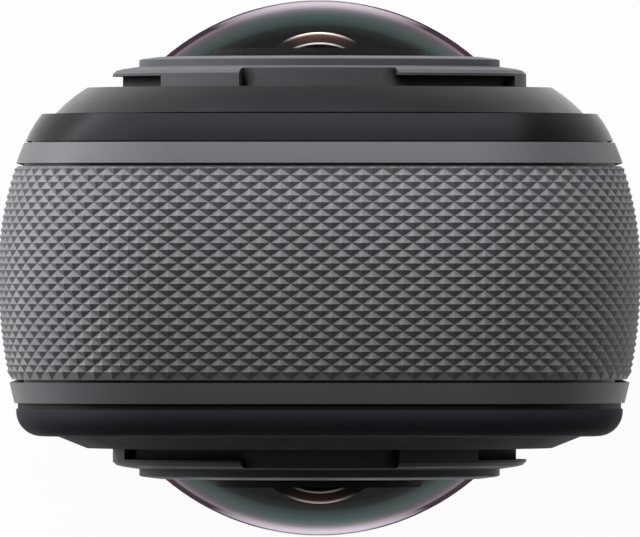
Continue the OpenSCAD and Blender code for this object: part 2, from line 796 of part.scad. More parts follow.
module image_sensor(side) {
    color("darkgreen") upright() on_lens(side) {
        translate([0, 0, chassis_half + sensor_board_t/2])
            cube([sensor_board, sensor_board, sensor_board_t], center = true);
        translate([0, 0, (chassis_half + sensor_top)/2 + 0.1])
            cube([sensor_die, sensor_die, sensor_top - chassis_half - 0.2], center = true);
    }
}

// One sealing ring in the groove of each lens mount
module lens_seals() {
    color([0.05, 0.05, 0.05]) upright() for (side = [-1, 1])
        on_lens(side) rotate_extrude() translate([tube_r - 0.23, tube_foot + 1.35]) circle(r = 0.32);
}

// Middle plate that carries the two sensors back to back
module lens_chassis() {
    color("silver") upright() outward(-chassis_half, chassis_half) difference() {
        intersection() {
            outline(frame_wall + board_gap);
            translate([-half_w, ear_y[0] - ear_margin]) square([body_w, body_h]);
        }
        for (side = [-1, 1], y = ear_y)
            translate([side*(cavity_x - ear_inset), y]) circle(r = screw_r + 0.1);
    }
}

module chassis_screws() {
    color("darkgray") upright() for (side = [-1, 1], y = ear_y)
        translate([side*(cavity_x - ear_inset), y, 0]) {
            translate([0, 0, -chassis_half]) cylinder(r = screw_r, h = 2*chassis_half + 2.4);
            translate([0, 0, -chassis_half - 0.9]) cylinder(r = 1.4, h = 0.9);
        }
}

module main_board() {
    color("darkgreen") upright()
        block([-main_board_half, main_board_y, main_board_z],
            [main_board_half, main_board_y + main_board_h, main_board_z + main_board_t]);
}

module processor_shield() {
    color("silver") upright()
        translate([0, main_board_y + main_board_h/2, 0])
            block([-shield_w/2, -shield_h/2, main_board_z + main_board_t],
                [shield_w/2, shield_h/2, cell_z - slide_gap - tray_wall - 0.1]);
}

module battery_tray() {
    gap = slide_gap;
    color([0.12, 0.12, 0.12]) upright() difference() {
        block([-cavity_x + board_gap, cell_y - gap - tray_wall, cell_z - gap - tray_wall],
            [tray_x + tray_wall, cell_y + cell_h + gap + tray_wall, cell_z + cell_t + gap + tray_wall]);
        block([-cavity_x - 1, cell_y - gap, cell_z - gap],
            [tray_x, cell_y + cell_h + gap, cell_z + cell_t + gap]);
        block([tray_x - 1, cell_y + 3, -2.1], [tray_x + tray_wall + 1, cell_y + 3.2 + contacts_l, 2.1]);
    }
}

module battery_contacts() {
    color("goldenrod") upright()
        block([tray_x - 0.5, cell_y + 3.1, -2], [side_board_x - 0.1, cell_y + 3.1 + contacts_l, 2]);
}

module card_slot() {
    color("silver") upright() difference() {
        block([-cavity_x + board_gap, card_y, -card_slot_w/2],
            [-cavity_x + card_slot_l, card_y + card_slot_h, card_slot_w/2]);
        block([-cavity_x - 1, card_y + card_slot_wall, -card_slot_w/2 + card_slot_wall],
            [-cavity_x + card_slot_l - 1, card_y + card_slot_h - card_slot_wall,
                card_slot_w/2 - card_slot_wall]);
    }
}

module usb_board() {
    color("darkgreen") upright()
        block([port_x - port_depth - 5, port_y - 5.6, usb_board_z],
            [cavity_x - board_gap, port_y + 5.3, usb_board_z + 0.95]);
}

module usb_port() {
    color("silver") upright() {
        difference() {
            sideways(port_x - port_depth, port_x) translate([port_y, 0])
                pill(port_l + 2*port_wall, port_w + 2*port_wall);
            sideways(port_x - port_depth + 1, port_x + 1) translate([port_y, 0])
                pill(port_l, port_w);
        }
        block([port_x - port_depth + 0.5, port_y - 3.35, -0.35], [port_x - 1.4, port_y + 3.35, 0.35]);
    }
}

module speaker() {
    color([0.1, 0.1, 0.1]) upright()
        block([-cavity_x + board_gap, speaker_y, -speaker_t/2],
            [-cavity_x + speaker_l, speaker_y + speaker_h, speaker_t/2]);
}

module mic_meshes() {
    color("black") upright() for (side = [-1, 1])
        translate([side*(half_w - 0.9), mic_y, 0]) rotate([0, side*90, 0])
            cylinder(r = mic_r, h = 0.5);
}

module status_light() {
    color("white") upright() {
        translate([0, status_y, -front_face]) cylinder(r = status_r, h = front_face + main_board_z - 0.05);
        translate([0, status_y, -frame_front]) cylinder(r = 1.5, h = frame_front + main_board_z - 0.05);
    }
}

module rear_key_board() {
    color("darkgreen") upright()
        block([-cavity_x + board_gap, rear_key_y - 2, rear_board_z],
            [cavity_x - board_gap, glass_y - 0.3, rear_board_z + rear_board_t]);
}

module rear_key_switches() {
    foot = rear_board_z + rear_board_t;
    top = rear_seat - 0.08 - key_flange_t - key_travel - 0.05;
    color("silver") upright() for (s = [-1, 1]) translate([s*rear_key_x, rear_key_y, 0]) {
        block([-2, -2, foot], [2, 2, top - 0.2]);
        translate([0, 0, foot]) cylinder(r = 1.2, h = top - foot);
    }
}

module side_key_board() {
    color("darkgreen") upright()
        block([side_board_x, quick_key_y - side_board_tail, -side_board_w/2],
            [side_board_x + side_board_t, power_key_y + side_board_tail, side_board_w/2]);
}

module side_key_switches() {
    foot = side_board_x + side_board_t;
    top = cavity_x - 0.1 - key_flange_t - key_travel - 0.05;
    color("silver") upright() for (y = [power_key_y, quick_key_y]) {
        block([foot, y - 2, -2], [top - 0.2, y + 2, 2]);
        translate([foot, y, 0]) rotate([0, 90, 0]) cylinder(r = 1.2, h = top - foot);
    }
}

// Flat foot with a notch at each end for a quick-release mount
module base_plate() {
    color([0.25, 0.25, 0.26]) upright() difference() {
        rotate([-90, 0, 0]) linear_extrude(base_t)
            rounded(-base_l/2, -base_w/2, base_l/2, base_w/2, 2.9);
        rotate([-90, 0, 0]) translate([0, 0, -1]) cylinder(r = insert_r + 0.1, h = base_t + 2);
        for (s = [-1, 1]) {
            translate([s*base_l/2, 0, 0]) cube([3, 6, 2.4], center = true);
            translate([s*base_screw_x, -0.1, 0]) rotate([-90, 0, 0]) {
                cylinder(r = 1.65, h = 1.1);
                cylinder(r = screw_r + 0.1, h = base_t + 1);
            }
        }
    }
}

module base_screws() {
    color("darkgray") upright() for (s = [-1, 1])
        translate([s*base_screw_x, 0.1, 0]) rotate([-90, 0, 0]) {
            cylinder(r = 1.5, h = 0.9);
            cylinder(r = screw_r, h = frame_foot + frame_wall - 0.3);
        }
}

// Threaded bush with a flange on the floor of the frame
module tripod_insert() {
    floor_y = frame_foot + frame_wall;
    color("silver") upright() rotate([-90, 0, 0]) difference() {
        union() {
            translate([0, 0, 0.2]) cylinder(r = insert_r, h = tripod_depth + 1.2);
            translate([0, 0, floor_y]) cylinder(r = insert_r + 1.5, h = 1.4);
        }
        translate([0, 0, -1]) cylinder(r = tripod_r, h = tripod_depth + 1.2);
    }
}

// Key under the screen: a stem through the cover and a flange behind it
module rear_key(x) {
    color([0.13, 0.13, 0.14]) upright() translate([x, rear_key_y, 0]) {
        outward(rear_seat - 0.1, rear_face + rear_key_proud) pill(rear_key_l, rear_key_w);
        outward(rear_seat - 0.08 - key_flange_t, rear_seat - 0.08)
            pill(rear_key_l + 2*key_flange, rear_key_w + 2*key_flange);
    }
}

// Key in the right side: its face follows the curve of the side
module side_key(y) {
    color([0.16, 0.16, 0.17]) upright() {
        intersection() {
            beside(1, y - side_key_l, y + side_key_l) translate([-0.08, 0])
                side_section(-side_key_w, side_key_w, frame_wall + 1);
            sideways(cavity_x - 0.2, half_w + 1) translate([y, 0]) pill(side_key_l, side_key_w);
        }
        sideways(cavity_x - 0.1 - key_flange_t, cavity_x - 0.1) translate([y, 0])
            pill(side_key_l + 2*key_flange, side_key_w + 2*key_flange);
    }
}

// Door over the charging port, rounded round its pin
module port_door() {
    color([0.2, 0.2, 0.21]) upright() difference() {
        intersection() {
            beside(1, door_pin_y - 2, door_pin_y + door_h)
                side_section(-door_w/2, door_w/2, door_t);
            union() {
                block([half_w - 3, door_pin_y, -door_w], [half_w + 1, door_pin_y + door_h, door_w]);
                translate([door_pin_x, door_pin_y, -door_w])
                    cylinder(r = door_knuckle, h = 2*door_w);
            }
        }
        translate([door_pin_x, door_pin_y, -door_w]) cylinder(r = door_pin_r + 0.05, h = 2*door_w);
    }
}

module port_door_seal() {
    color([0.05, 0.05, 0.05]) upright()
        sideways(half_w - door_t - 1.1, half_w - door_t) difference() {
            rounded(port_y - plug_l/2, -plug_w/2, port_y + plug_l/2, plug_w/2, 1);
            translate([port_y, 0])
                pill(port_l + 2*port_wall + 0.4, port_w + 2*port_wall + 0.4);
        }
}

module port_door_pin() {
    color("silver") upright() translate([door_pin_x, door_pin_y, -door_w/2 - 1])
        cylinder(r = door_pin_r, h = door_w + 2);
}

module battery_cell() {
    color([0.18, 0.18, 0.19]) upright()
        sideways(cell_x, cell_x + cell_l)
            rounded(cell_y, cell_z, cell_y + cell_h, cell_z + cell_t, 0.8);
}

// Lid of the battery: a flush outer plate and a plug that fills the mouth of the bay
module battery_lid() {
    color([0.2, 0.2, 0.21]) upright() difference() {
        union() {
            intersection() {
                beside(-1, lid_y - 1, lid_top + 1) side_section(lid_front - 1, lid_rear + 1, panel_d);
                sideways(-half_w - 1, 0) rounded(lid_y, lid_front, lid_top, lid_rear, 1.85);
            }
            sideways(-half_w + panel_d - 0.1, cell_x)
                rounded(cell_y, cell_z, cell_y + cell_h, cell_z + cell_t, 0.8);
        }
        sideways(lid_plug_x - 1.9, lid_plug_x - 1) difference() {
            square([4*cell_h, 4*cell_h], center = true);
            rounded(cell_y + 0.8, cell_z + 0.8, cell_y + cell_h - 0.8, cell_z + cell_t - 0.8, 0.6);
        }
        sideways(-half_w - 1, -half_w + latch_recess)
            rounded(latch_y - fit_gap, -latch_w/2 - fit_gap,
                latch_y + latch_l + latch_travel + fit_gap, latch_w/2 + fit_gap, 1);
        block([-half_w - 1, latch_y + 2.3, -1.05],
            [cell_x - 1, latch_y + 5.7 + latch_travel, 1.05]);
        block([-half_w + 2, latch_y + 1.3, -2.5],
            [-half_w + 3.2, latch_y + 1.7 + foot_l + latch_travel, 2.5]);
    }
}

module battery_seal() {
    color([0.05, 0.05, 0.05]) upright() sideways(lid_plug_x - 1.85, lid_plug_x - 1.05) difference() {
        rounded(cell_y - 0.1, cell_z - 0.1, cell_y + cell_h + 0.1, cell_z + cell_t + 0.1, 0.8);
        rounded(cell_y + 0.75, cell_z + 0.75, cell_y + cell_h - 0.75, cell_z + cell_t - 0.75, 0.6);
    }
}

// Thumb slide with a stem through the lid and a foot behind it
module battery_latch() {
    color([0.3, 0.3, 0.31]) upright() {
        difference() {
            sideways(-half_w + 0.2, -half_w + latch_recess - 0.08)
                rounded(latch_y, -latch_w/2, latch_y + latch_l, latch_w/2, 0.9);
            for (i = [0:4])
                translate([-half_w + 0.2, latch_y + latch_l/2 + (i - 2)*1.2, 0])
                    cube([0.5, 0.5, latch_w + 1], center = true);
        }
        block([-half_w + latch_recess - 0.2, latch_y + 2.5, -0.9],
            [-half_w + 2.3, latch_y + 5.5, 0.9]);
        block([-half_w + 2.1, latch_y + 1.5, -2.3],
            [-half_w + 3, latch_y + 1.5 + foot_l, 2.3]);
    }
}

module front_lens_mount() lens_mount(-1);
module rear_lens_mount() lens_mount(1);
module front_lens_ring() lens_ring(-1);
module rear_lens_ring() lens_ring(1);
module front_dome_lens() dome_lens(-1);
module rear_dome_lens() dome_lens(1);
module front_lens_baffle() lens_baffle(-1);
module rear_lens_baffle() lens_baffle(1);
module front_inner_lens() inner_lens(-1);
module rear_inner_lens() inner_lens(1);
module front_lens_barrel() lens_barrel(-1);
module rear_lens_barrel() lens_barrel(1);
module front_image_sensor() image_sensor(-1);
module rear_image_sensor() image_sensor(1);
module shutter_key() rear_key(-rear_key_x);
module lens_key() rear_key(rear_key_x);
module power_key() side_key(power_key_y);
module quick_key() side_key(quick_key_y);

frame();
grip_band();
right_side_panel();
left_side_panel();
front_cover();
front_grip_pad();
rear_cover();
rear_cover_gasket();
display_glass();
display_panel();
mid_plate();
front_lens_mount();
rear_lens_mount();
front_lens_ring();
rear_lens_ring();
front_dome_lens();
rear_dome_lens();
front_lens_baffle();
rear_lens_baffle();
front_inner_lens();
rear_inner_lens();
front_lens_barrel();
rear_lens_barrel();
front_image_sensor();
rear_image_sensor();
lens_seals();
lens_chassis();
chassis_screws();
main_board();
processor_shield();
battery_tray();
battery_contacts();
card_slot();
usb_board();
usb_port();
speaker();
mic_meshes();
status_light();
rear_key_board();
rear_key_switches();
side_key_board();
side_key_switches();
base_plate();
base_screws();
tripod_insert();
shutter_key();
lens_key();
power_key();
quick_key();
port_door();
port_door_seal();
port_door_pin();
battery_cell();
battery_lid();
battery_seal();
battery_latch();
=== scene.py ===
import math
import bmesh
import bpy
import numpy as np
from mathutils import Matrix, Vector


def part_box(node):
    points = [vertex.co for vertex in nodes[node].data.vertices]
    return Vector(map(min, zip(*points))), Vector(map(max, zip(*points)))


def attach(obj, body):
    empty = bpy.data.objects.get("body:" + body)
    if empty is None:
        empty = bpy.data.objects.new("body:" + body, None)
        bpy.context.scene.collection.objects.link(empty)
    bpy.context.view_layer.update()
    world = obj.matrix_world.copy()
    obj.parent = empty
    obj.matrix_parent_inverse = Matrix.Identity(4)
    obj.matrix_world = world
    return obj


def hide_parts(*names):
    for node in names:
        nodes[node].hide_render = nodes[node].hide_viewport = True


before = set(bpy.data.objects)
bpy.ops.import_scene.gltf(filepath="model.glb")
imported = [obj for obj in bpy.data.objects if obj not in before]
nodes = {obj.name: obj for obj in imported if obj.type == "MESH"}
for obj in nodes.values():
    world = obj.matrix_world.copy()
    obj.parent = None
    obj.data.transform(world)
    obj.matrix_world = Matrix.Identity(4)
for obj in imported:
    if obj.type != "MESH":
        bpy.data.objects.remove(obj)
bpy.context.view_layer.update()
scene = bpy.context.scene
millimetre = 0.001
print("frame loaded with", len(nodes), "nodes")


def middleOf(node):
    low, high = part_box(node)
    return (low + high) / 2


# places that several pieces share, read from the frame
lensHeight = middleOf("front_dome_lens").z
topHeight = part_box("grip_band")[1].z


# shader helpers

def addNode(tree, kind, place, **values):
    node = tree.nodes.new(kind)
    node.location = place
    for key, value in values.items():
        setattr(node, key, value)
    return node


def addMath(tree, operation, place, second=None, clamped=False):
    node = addNode(tree, "ShaderNodeMath", place, operation=operation, use_clamp=clamped)
    if second is not None:
        node.inputs[1].default_value = second
    return node


def addVectorMath(tree, operation, place):
    return addNode(tree, "ShaderNodeVectorMath", place, operation=operation)


def addColourMix(tree, place):
    return addNode(tree, "ShaderNodeMix", place, data_type="RGBA")


def addRange(tree, place, low, high, top=1.0, **values):
    node = addNode(tree, "ShaderNodeMapRange", place, **values)
    node.inputs["From Min"].default_value = low
    node.inputs["From Max"].default_value = high
    node.inputs["To Max"].default_value = top
    return node


def addSteps(tree, steps, place):
    ramp = addNode(tree, "ShaderNodeValToRGB", place)
    elements = ramp.color_ramp.elements
    for step in steps[1:-1]:
        elements.new(step[0])
    for element, (position, colour) in zip(elements, steps):
        element.position = position
        element.color = (*colour, 1)
    return ramp


def newGroup(name, inputs, outputs):
    group = bpy.data.node_groups.new(name, "ShaderNodeTree")
    for label, kind, default in inputs:
        socket = group.interface.new_socket(label, in_out="INPUT", socket_type=kind)
        socket.default_value = default
    for label, kind in outputs:
        group.interface.new_socket(label, in_out="OUTPUT", socket_type=kind)
    start = addNode(group, "NodeGroupInput", (-900, 0))
    end = addNode(group, "NodeGroupOutput", (700, 0))
    return group, start, end


def useGroup(tree, group, values, place=(-500, 0)):
    node = addNode(tree, "ShaderNodeGroup", place, node_tree=group)
    for label, value in values.items():
        node.inputs[label].default_value = value
    return node


def newMaterial(name, settings):
    material = bpy.data.materials.new(name)
    material.use_nodes = True
    tree = material.node_tree
    shader = tree.nodes["Principled BSDF"]
    for label, value in settings.items():
        shader.inputs[label].default_value = value
    return material, tree, shader


def bumpFrom(tree, heightSocket, shader, strength, distance):
    bump = addNode(tree, "ShaderNodeBump", (-220, -320))
    bump.inputs["Strength"].default_value = strength
    bump.inputs["Distance"].default_value = distance
    tree.links.new(heightSocket, bump.inputs["Height"])
    tree.links.new(bump.outputs["Normal"], shader.inputs["Normal"])


# moulded grain: a fine noise for the height, a slow one that drifts the tone,
# and a middle one that spreads the roughness
grainNoise = dict(detail=4.0, roughness=0.6, cloudScale=90.0, cloudDetail=3.0, smudgeScale=420.0,
                  smudgeDetail=5.0, toneShare=0.35, spreadLow=0.35, spreadHigh=0.65)


def makeMouldedGrain():
    group, start, end = newGroup(
        "mouldedGrain",
        [("Light Tone", "NodeSocketColor", (0.2, 0.2, 0.2, 1)),
         ("Dark Tone", "NodeSocketColor", (0.1, 0.1, 0.1, 1)),
         ("Grain Scale", "NodeSocketFloat", 6000.0),
         ("Cloud Scale", "NodeSocketFloat", grainNoise["cloudScale"]),
         ("Smooth", "NodeSocketFloat", 0.4),
         ("Rough", "NodeSocketFloat", 0.5)],
        [("Color", "NodeSocketColor"), ("Roughness", "NodeSocketFloat"), ("Height", "NodeSocketFloat")])
    links = group.links
    where = addNode(group, "ShaderNodeTexCoord", (-900, 300))
    grain = addNode(group, "ShaderNodeTexNoise", (-500, 300))
    grain.inputs["Detail"].default_value = grainNoise["detail"]
    grain.inputs["Roughness"].default_value = grainNoise["roughness"]
    cloud = addNode(group, "ShaderNodeTexNoise", (-500, 0))
    cloud.inputs["Detail"].default_value = grainNoise["cloudDetail"]
    smudge = addNode(group, "ShaderNodeTexNoise", (-500, -300))
    smudge.inputs["Scale"].default_value = grainNoise["smudgeScale"]
    smudge.inputs["Detail"].default_value = grainNoise["smudgeDetail"]
    tone = addColourMix(group, (0, 100))
    drift = addMath(group, "MULTIPLY_ADD", (-250, 60), grainNoise["toneShare"])
    spread = addRange(group, (0, -250), grainNoise["spreadLow"], grainNoise["spreadHigh"])
    for texture in (grain, cloud, smudge):
        links.new(where.outputs["Object"], texture.inputs["Vector"])
    links.new(start.outputs["Grain Scale"], grain.inputs["Scale"])
    links.new(start.outputs["Cloud Scale"], cloud.inputs["Scale"])
    links.new(grain.outputs["Fac"], drift.inputs[0])
    links.new(cloud.outputs["Fac"], drift.inputs[2])
    links.new(drift.outputs[0], tone.inputs["Factor"])
    links.new(start.outputs["Dark Tone"], tone.inputs["A"])
    links.new(start.outputs["Light Tone"], tone.inputs["B"])
    links.new(smudge.outputs["Fac"], spread.inputs["Value"])
    links.new(start.outputs["Smooth"], spread.inputs["To Min"])
    links.new(start.outputs["Rough"], spread.inputs["To Max"])
    links.new(tone.outputs["Result"], end.inputs["Color"])
    links.new(spread.outputs["Result"], end.inputs["Roughness"])
    links.new(grain.outputs["Fac"], end.inputs["Height"])
    return group


mouldedGrain = makeMouldedGrain()


def addGrain(tree, look, light, dark, place=(-500, 0)):
    return useGroup(tree, mouldedGrain, {
        "Light Tone": light, "Dark Tone": dark, "Grain Scale": look["grain"],
        "Smooth": look["smooth"], "Rough": look["rough"]}, place)


def linkGrain(tree, group, shader):
    tree.links.new(group.outputs["Color"], shader.inputs["Base Color"])
    tree.links.new(group.outputs["Roughness"], shader.inputs["Roughness"])


# turned lines: rings round the lens axis, sin(radius / pitch), for lathe-cut metal and baffles

def makeTurnedLines():
    group, start, end = newGroup(
        "turnedLines",
        [("Axis Height", "NodeSocketFloat", lensHeight), ("Pitch", "NodeSocketFloat", 0.0002)],
        [("Height", "NodeSocketFloat")])
    links = group.links
    where = addNode(group, "ShaderNodeTexCoord", (-900, 300))
    split = addNode(group, "ShaderNodeSeparateXYZ", (-700, 300))
    rise = addMath(group, "SUBTRACT", (-500, 200))
    flat = addNode(group, "ShaderNodeCombineXYZ", (-300, 300))
    radius = addVectorMath(group, "LENGTH", (-100, 300))
    turns = addMath(group, "DIVIDE", (100, 300))
    wave = addMath(group, "SINE", (300, 300))
    links.new(where.outputs["Object"], split.inputs[0])
    links.new(split.outputs["Z"], rise.inputs[0])
    links.new(start.outputs["Axis Height"], rise.inputs[1])
    links.new(split.outputs["X"], flat.inputs["X"])
    links.new(rise.outputs[0], flat.inputs["Z"])
    links.new(flat.outputs[0], radius.inputs[0])
    links.new(radius.outputs["Value"], turns.inputs[0])
    links.new(start.outputs["Pitch"], turns.inputs[1])
    links.new(turns.outputs[0], wave.inputs[0])
    links.new(wave.outputs[0], end.inputs["Height"])
    return group


turnedLines = makeTurnedLines()

# brushed lines: noise stretched along one direction, for sheet steel
brushNoise = dict(stretch=(4000.0, 4000.0, 120.0), scale=1.0, detail=3.0)


def makeBrushedLines():
    group, start, end = newGroup(
        "brushedLines",
        [("Stretch", "NodeSocketVector", brushNoise["stretch"])],
        [("Height", "NodeSocketFloat")])
    where = addNode(group, "ShaderNodeTexCoord", (-900, 300))
    scale = addVectorMath(group, "MULTIPLY", (-600, 300))
    noise = addNode(group, "ShaderNodeTexNoise", (-300, 300))
    noise.inputs["Scale"].default_value = brushNoise["scale"]
    noise.inputs["Detail"].default_value = brushNoise["detail"]
    group.links.new(where.outputs["Object"], scale.inputs[0])
    group.links.new(start.outputs["Stretch"], scale.inputs[1])
    group.links.new(scale.outputs["Vector"], noise.inputs["Vector"])
    group.links.new(noise.outputs["Fac"], end.inputs["Height"])
    return group


brushedLines = makeBrushedLines()

# greys lean to blue a little, and the black covers more
plainTint = (0.965, 0.985, 1.06)
coldTint = (0.96, 1.00, 1.16)


def grey(level, tint=plainTint):
    return (level * tint[0], level * tint[1], level * tint[2], 1)


# moulded and painted surfaces: tone, gloss, grain
mouldedDepth = 0.00005
moulded = {
    "frameSatin": dict(light=0.162, dark=0.137, smooth=0.40, rough=0.48, ior=1.40, grain=7000, bump=0.10),
    "gripFacet": dict(light=0.210, dark=0.178, smooth=0.40, rough=0.50, ior=1.48, grain=9000, bump=0.06),
    "panelSatin": dict(light=0.105, dark=0.085, smooth=0.42, rough=0.52, ior=1.45, grain=7000, bump=0.12),
    "rearBlack": dict(light=0.055, dark=0.044, smooth=0.40, rough=0.50, ior=1.04, grain=8000, bump=0.06,
                      tint=coldTint),
    "padRubber": dict(light=0.032, dark=0.024, smooth=0.62, rough=0.75, ior=1.40, grain=5000, bump=0.25),
    "sealRubber": dict(light=0.014, dark=0.010, smooth=0.60, rough=0.72, ior=1.35, grain=5000, bump=0.20),
    "keyBlack": dict(light=0.044, dark=0.034, smooth=0.36, rough=0.46, ior=1.30, grain=9000, bump=0.10),
    "cellWrap": dict(light=0.045, dark=0.035, smooth=0.38, rough=0.50, ior=1.45, grain=3000, bump=0.10),
    "trayBlack": dict(light=0.030, dark=0.022, smooth=0.50, rough=0.62, ior=1.45, grain=4000, bump=0.15),
    "screenGlass": dict(light=0.006, dark=0.004, smooth=0.04, rough=0.11, ior=1.33, grain=900, bump=0.004),
    "lightPipe": dict(light=0.80, dark=0.72, smooth=0.30, rough=0.42, ior=1.45, grain=2500, bump=0.08),
}


def makeMoulded(name):
    look = moulded[name]
    tint = look.get("tint", plainTint)
    material, tree, shader = newMaterial(name, {"IOR": look["ior"]})
    group = addGrain(tree, look, grey(look["light"], tint), grey(look["dark"], tint))
    linkGrain(tree, group, shader)
    bumpFrom(tree, group.outputs["Height"], shader, look["bump"], mouldedDepth)
    return material


finishes = {name: makeMoulded(name) for name in moulded}

# front cover: deep black, with the bump above the parting line painted slightly lighter, painted light for
# the brighter sheen it shows, and a sheen that grows where the surface is seen at a slant
frontBlack = dict(light=0.0105, dark=0.0085, bumpPaintedLight=0.0125, bumpPaintedDark=0.0102, smooth=0.28, rough=0.34,
                  ior=1.22, gloss=(0.84, 0.92, 1.0, 1), grain=8000, bump=0.05, parting=0.01108)
sheen = dict(start=0.40, end=0.95, share=0.45, roughness=0.25)


def addSheen(tree, shader):
    slant = addNode(tree, "ShaderNodeLayerWeight", (-420, -560))
    grow = addRange(tree, (-220, -560), sheen["start"], sheen["end"], sheen["share"])
    shader.inputs["Coat Roughness"].default_value = sheen["roughness"]
    tree.links.new(slant.outputs["Facing"], grow.inputs["Value"])
    tree.links.new(grow.outputs["Result"], shader.inputs["Coat Weight"])


def makeFrontBlack():
    look = frontBlack
    material, tree, shader = newMaterial("frontBlack", {"IOR": look["ior"], "Specular Tint": look["gloss"]})
    light, dark, bumpPaintedLight, bumpPaintedDark = [
        grey(look[level], coldTint) for level in ("light", "dark", "bumpPaintedLight", "bumpPaintedDark")]
    plain = addGrain(tree, look, light, dark)
    # painted light: the bump above the parting line gets a lighter grain tone
    paintedBumpGrain = addGrain(tree, look, bumpPaintedLight, bumpPaintedDark, (-500, 300))
    where = addNode(tree, "ShaderNodeTexCoord", (-900, 500))
    split = addNode(tree, "ShaderNodeSeparateXYZ", (-700, 500))
    onBump = addMath(tree, "GREATER_THAN", (-500, 500), look["parting"])
    tone = addColourMix(tree, (-200, 200))
    tree.links.new(where.outputs["Object"], split.inputs[0])
    tree.links.new(split.outputs["Y"], onBump.inputs[0])
    tree.links.new(onBump.outputs[0], tone.inputs["Factor"])
    tree.links.new(plain.outputs["Color"], tone.inputs["A"])
    tree.links.new(paintedBumpGrain.outputs["Color"], tone.inputs["B"])
    tree.links.new(tone.outputs["Result"], shader.inputs["Base Color"])
    tree.links.new(plain.outputs["Roughness"], shader.inputs["Roughness"])
    bumpFrom(tree, plain.outputs["Height"], shader, look["bump"], mouldedDepth)
    addSheen(tree, shader)
    return material


finishes["frontBlack"] = makeFrontBlack()

# black anodised lens metal: turned lines over a fine bead-blast grain, with painted shade in the undercuts
# of the tabs, found by ambient occlusion
lensMetal = dict(light=0.131, dark=0.109, smooth=0.36, rough=0.48, ior=1.09, grain=9000, pitch=0.00004,
                 bump=0.08, lineDepth=0.00002, undercut=0.0011, samples=8, steepness=6.0,
                 shade=0.024, shadeRough=1.0)


def makeLensMetal():
    look = lensMetal
    material, tree, shader = newMaterial("lensMetal", {"IOR": look["ior"]})
    group = addGrain(tree, look, grey(look["light"]), grey(look["dark"]))
    lines = useGroup(tree, turnedLines, {"Pitch": look["pitch"]}, (-500, -300))
    # painted shade: where ambient occlusion finds the undercuts, the base colour goes to the shade tone and
    # the roughness to full
    paintedShadeOcclusion = addNode(tree, "ShaderNodeAmbientOcclusion", (-500, 300), only_local=True,
                        samples=look["samples"])
    paintedShadeOcclusion.inputs["Distance"].default_value = look["undercut"]
    steep = addMath(tree, "POWER", (-300, 300), look["steepness"])
    tone = addColourMix(tree, (-100, 200))
    tone.inputs["A"].default_value = grey(look["shade"])
    shine = addNode(tree, "ShaderNodeMix", (-100, -50), data_type="FLOAT")
    shine.inputs["A"].default_value = look["shadeRough"]
    tree.links.new(paintedShadeOcclusion.outputs["AO"], steep.inputs[0])
    tree.links.new(steep.outputs[0], tone.inputs["Factor"])
    tree.links.new(steep.outputs[0], shine.inputs["Factor"])
    tree.links.new(group.outputs["Color"], tone.inputs["B"])
    tree.links.new(group.outputs["Roughness"], shine.inputs["B"])
    tree.links.new(tone.outputs["Result"], shader.inputs["Base Color"])
    tree.links.new(shine.outputs["Result"], shader.inputs["Roughness"])
    bumpFrom(tree, lines.outputs["Height"], shader, look["bump"], look["lineDepth"])
    return material


finishes["lensMetal"] = makeLensMetal()

# flat black baffle with light-trap rings
baffleBlack = dict(light=0.014, dark=0.011, smooth=0.55, rough=0.70, ior=1.08, grain=6000, pitch=0.00006,
                   bump=0.3, lineDepth=0.00003)


def makeBaffleBlack():
    look = baffleBlack
    material, tree, shader = newMaterial("baffleBlack", {"IOR": look["ior"]})
    group = addGrain(tree, look, grey(look["light"]), grey(look["dark"]))
    lines = useGroup(tree, turnedLines, {"Pitch": look["pitch"]}, (-500, -300))
    linkGrain(tree, group, shader)
    bumpFrom(tree, lines.outputs["Height"], shader, look["bump"], look["lineDepth"])
    return material


finishes["baffleBlack"] = makeBaffleBlack()

# bare metals: base colour and roughness with brushed or blasted grain
metalGrain = 5000
brushDepth = 0.00003
metals = {
    "sheetSteel": dict(light=(0.62, 0.62, 0.63), dark=(0.52, 0.52, 0.53),
                       smooth=0.26, rough=0.36, bump=0.12),
    "threadSteel": dict(light=(0.66, 0.66, 0.67), dark=(0.55, 0.55, 0.56),
                        smooth=0.20, rough=0.30, bump=0.10),
    "chassisMetal": dict(light=(0.58, 0.58, 0.59), dark=(0.48, 0.48, 0.49),
                         smooth=0.38, rough=0.50, bump=0.20),
    "contactGold": dict(light=(0.80, 0.60, 0.26), dark=(0.68, 0.48, 0.20),
                        smooth=0.22, rough=0.32, bump=0.08),
    "baseMetal": dict(light=(0.13, 0.13, 0.135), dark=(0.10, 0.10, 0.105),
                      smooth=0.34, rough=0.46, bump=0.15),
    "meshBlack": dict(light=(0.07, 0.07, 0.07), dark=(0.04, 0.04, 0.04),
                      smooth=0.35, rough=0.50, bump=0.10),
}


def makeMetal(name):
    look = dict(metals[name], grain=metalGrain)
    material, tree, shader = newMaterial(name, {"Metallic": 1.0})
    group = addGrain(tree, look, (*look["light"], 1), (*look["dark"], 1))
    lines = useGroup(tree, brushedLines, {}, (-500, -300))
    linkGrain(tree, group, shader)
    bumpFrom(tree, lines.outputs["Height"], shader, look["bump"], brushDepth)
    return material


finishes.update({name: makeMetal(name) for name in metals})

